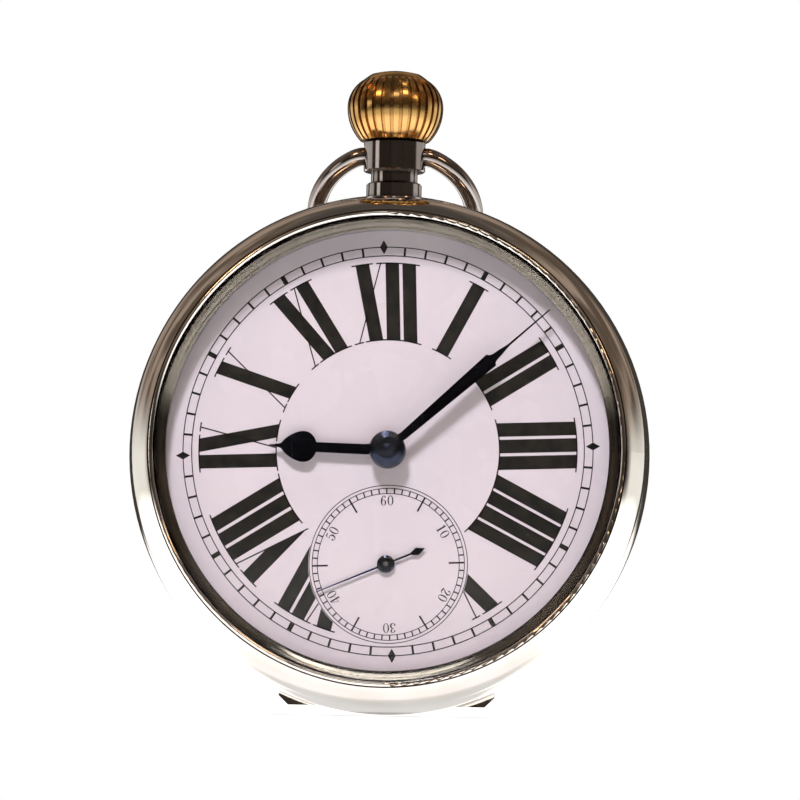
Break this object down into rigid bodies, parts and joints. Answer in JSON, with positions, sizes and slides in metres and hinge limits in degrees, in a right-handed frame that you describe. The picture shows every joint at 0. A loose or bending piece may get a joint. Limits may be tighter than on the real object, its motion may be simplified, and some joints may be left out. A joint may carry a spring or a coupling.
{
  "type": "open face pocket watch",
  "caption": "Large open-face keyless pocket watch: round case with snap bezel and domed crystal, hinged back, ribbed crown, swinging bow, and a jewelled lever movement that drives three hands.",
  "frame": {"origin": "centre of the flat of the back cover", "axes": "+Z from the centre of the watch towards the crown at 12 o'clock; the dial faces -Y; +X is towards 3 o'clock as the dial is seen"},
  "size_m": [0.066, 0.0273, 0.0821],
  "materials": {
    "case_silver": "polished silver",
    "pendant_nickel": "polished nickel",
    "crown_gilt": "polished gilt",
    "crystal_glass": "clear polished",
    "dial_enamel": "glossy fired enamel",
    "hand_blued": "polished blued steel",
    "plate_gilt": "frosted gilt",
    "wheel_brass": "polished brass",
    "steel": "polished steel",
    "screw_steel": "polished blued steel",
    "ruby": "polished ruby"
  },
  "bodies": {
    "case": {"case_middle": "case_silver", "pendant": "pendant_nickel", "bow_pins": "pendant_nickel", "case_hinge": "case_silver", "hinge_pin": "case_silver", "back_cover": "case_silver", "dust_cover": "case_silver", "main_plate": "plate_gilt", "barrel_bridge": "plate_gilt", "train_bridge": "plate_gilt", "balance_cock": "plate_gilt", "pallet_bridge": "plate_gilt", "jewels": "ruby", "bridge_screws": "screw_steel", "case_screws": "screw_steel", "dial": "dial_enamel", "cap_jewel_plate": "steel", "hairspring_stud": "steel", "click_spring": "steel", "crown_wheel_screw": "screw_steel", "hairspring": "hand_blued"},
    "front": {"bezel": "case_silver", "crystal": "crystal_glass"},
    "bow": {"bow": "pendant_nickel"},
    "winding": {"winding_pinion": "steel"},
    "crown": {"crown": "crown_gilt", "winding_stem": "steel"},
    "clutch": {"sliding_pinion": "steel"},
    "crown_wheel": {"crown_wheel": "steel"},
    "ratchet": {"ratchet_wheel": "steel", "barrel_arbor": "steel", "ratchet_screw": "screw_steel"},
    "click": {"click": "steel"},
    "barrel": {"barrel": "wheel_brass", "barrel_cover": "wheel_brass", "mainspring": "hand_blued"},
    "centre": {"centre_wheel": "wheel_brass", "centre_arbor": "steel", "cannon_pinion": "steel", "minute_hand": "hand_blued"},
    "hour": {"hour_wheel": "wheel_brass", "hour_hand": "hand_blued"},
    "minute_wheel": {"minute_wheel": "wheel_brass"},
    "third": {"third_wheel": "wheel_brass", "third_arbor": "steel"},
    "fourth": {"fourth_wheel": "wheel_brass", "fourth_arbor": "steel", "seconds_hand": "hand_blued"},
    "escape": {"escape_wheel": "steel", "escape_arbor": "steel"},
    "pallet": {"pallet_fork": "steel", "pallet_stones": "ruby"},
    "balance": {"balance_wheel": "wheel_brass", "balance_staff": "steel", "balance_screws": "wheel_brass"},
    "regulator": {"regulator": "steel"}
  },
  "joints": [
    {"name": "bezel_lift", "type": "slide", "parent": "case", "child": "front", "axis": [0, -1, 0], "range_m": [0, 0.03]},
    {"name": "bow_swing", "type": "hinge", "parent": "case", "child": "bow", "pos_m": [0, -0.007, 0.0381], "axis": [1, 0, 0], "range_deg": [0, 250]},
    {"name": "crown_turn", "type": "hinge", "parent": "case", "child": "winding", "pos_m": [0, -0.007, 0.022], "axis": [0, 0, 1], "continuous": true},
    {"name": "crown_pull", "type": "slide", "parent": "winding", "child": "crown", "axis": [0, 0, 1], "range_m": [0, 0.0015]},
    {"name": "clutch_slide", "type": "slide", "parent": "winding", "child": "clutch", "axis": [0, 0, -1], "range_m": [0, 0.001]},
    {"name": "crown_wheel_turn", "type": "hinge", "parent": "case", "child": "crown_wheel", "pos_m": [0, -0.0038, 0.016], "axis": [0, -1, 0], "continuous": true},
    {"name": "ratchet_turn", "type": "hinge", "parent": "case", "child": "ratchet", "pos_m": [0.00847, -0.0038, 0.00767], "axis": [0, -1, 0], "continuous": true},
    {"name": "click_rock", "type": "hinge", "parent": "case", "child": "click", "pos_m": [0.01284, -0.003, 0.01588], "axis": [0, -1, 0], "range_deg": [-5, 0], "stiffness_Nm_per_rad": 0.00002},
    {"name": "barrel_turn", "type": "hinge", "parent": "case", "child": "barrel", "pos_m": [0.00847, -0.007, 0.00767], "axis": [0, -1, 0], "continuous": true},
    {"name": "minute_turn", "type": "hinge", "parent": "case", "child": "centre", "pos_m": [0, -0.01, 0], "axis": [0, -1, 0], "continuous": true},
    {"name": "hour_turn", "type": "hinge", "parent": "case", "child": "hour", "pos_m": [0, -0.011, 0], "axis": [0, -1, 0], "continuous": true},
    {"name": "minute_wheel_turn", "type": "hinge", "parent": "case", "child": "minute_wheel", "pos_m": [-0.00193, -0.01, 0.00568], "axis": [0, -1, 0], "continuous": true},
    {"name": "third_turn", "type": "hinge", "parent": "case", "child": "third", "pos_m": [-0.00424, -0.006, -0.00794], "axis": [0, -1, 0], "continuous": true},
    {"name": "seconds_turn", "type": "hinge", "parent": "case", "child": "fourth", "pos_m": [0, -0.008, -0.0143], "axis": [0, -1, 0], "continuous": true},
    {"name": "escape_turn", "type": "hinge", "parent": "case", "child": "escape", "pos_m": [0.00678, -0.007, -0.01746], "axis": [0, -1, 0], "continuous": true},
    {"name": "pallet_rock", "type": "hinge", "parent": "case", "child": "pallet", "pos_m": [0.00966, -0.007, -0.01447], "axis": [0, -1, 0], "range_deg": [-5, 5]},
    {"name": "balance_swing", "type": "hinge", "parent": "case", "child": "balance", "pos_m": [0.013, -0.006, -0.011], "axis": [0, -1, 0], "range_deg": [-270, 270], "stiffness_Nm_per_rad": 0.000001},
    {"name": "regulator_turn", "type": "hinge", "parent": "case", "child": "regulator", "pos_m": [0.013, -0.003, -0.011], "axis": [0, -1, 0], "range_deg": [-18, 18]}
  ],
  "couplings": [
    {"joint": "clutch_slide", "follows": "crown_pull", "ratio": 0.66667},
    {"joint": "crown_wheel_turn", "follows": "crown_turn", "ratio": 0.6},
    {"joint": "ratchet_turn", "follows": "crown_turn", "ratio": -0.42857},
    {"joint": "barrel_turn", "follows": "minute_turn", "ratio": -0.14286},
    {"joint": "hour_turn", "follows": "minute_turn", "ratio": 0.083333},
    {"joint": "minute_wheel_turn", "follows": "minute_turn", "ratio": -0.33333},
    {"joint": "third_turn", "follows": "minute_turn", "ratio": -8},
    {"joint": "seconds_turn", "follows": "minute_turn", "ratio": 60},
    {"joint": "escape_turn", "follows": "minute_turn", "ratio": -600}
  ]
}
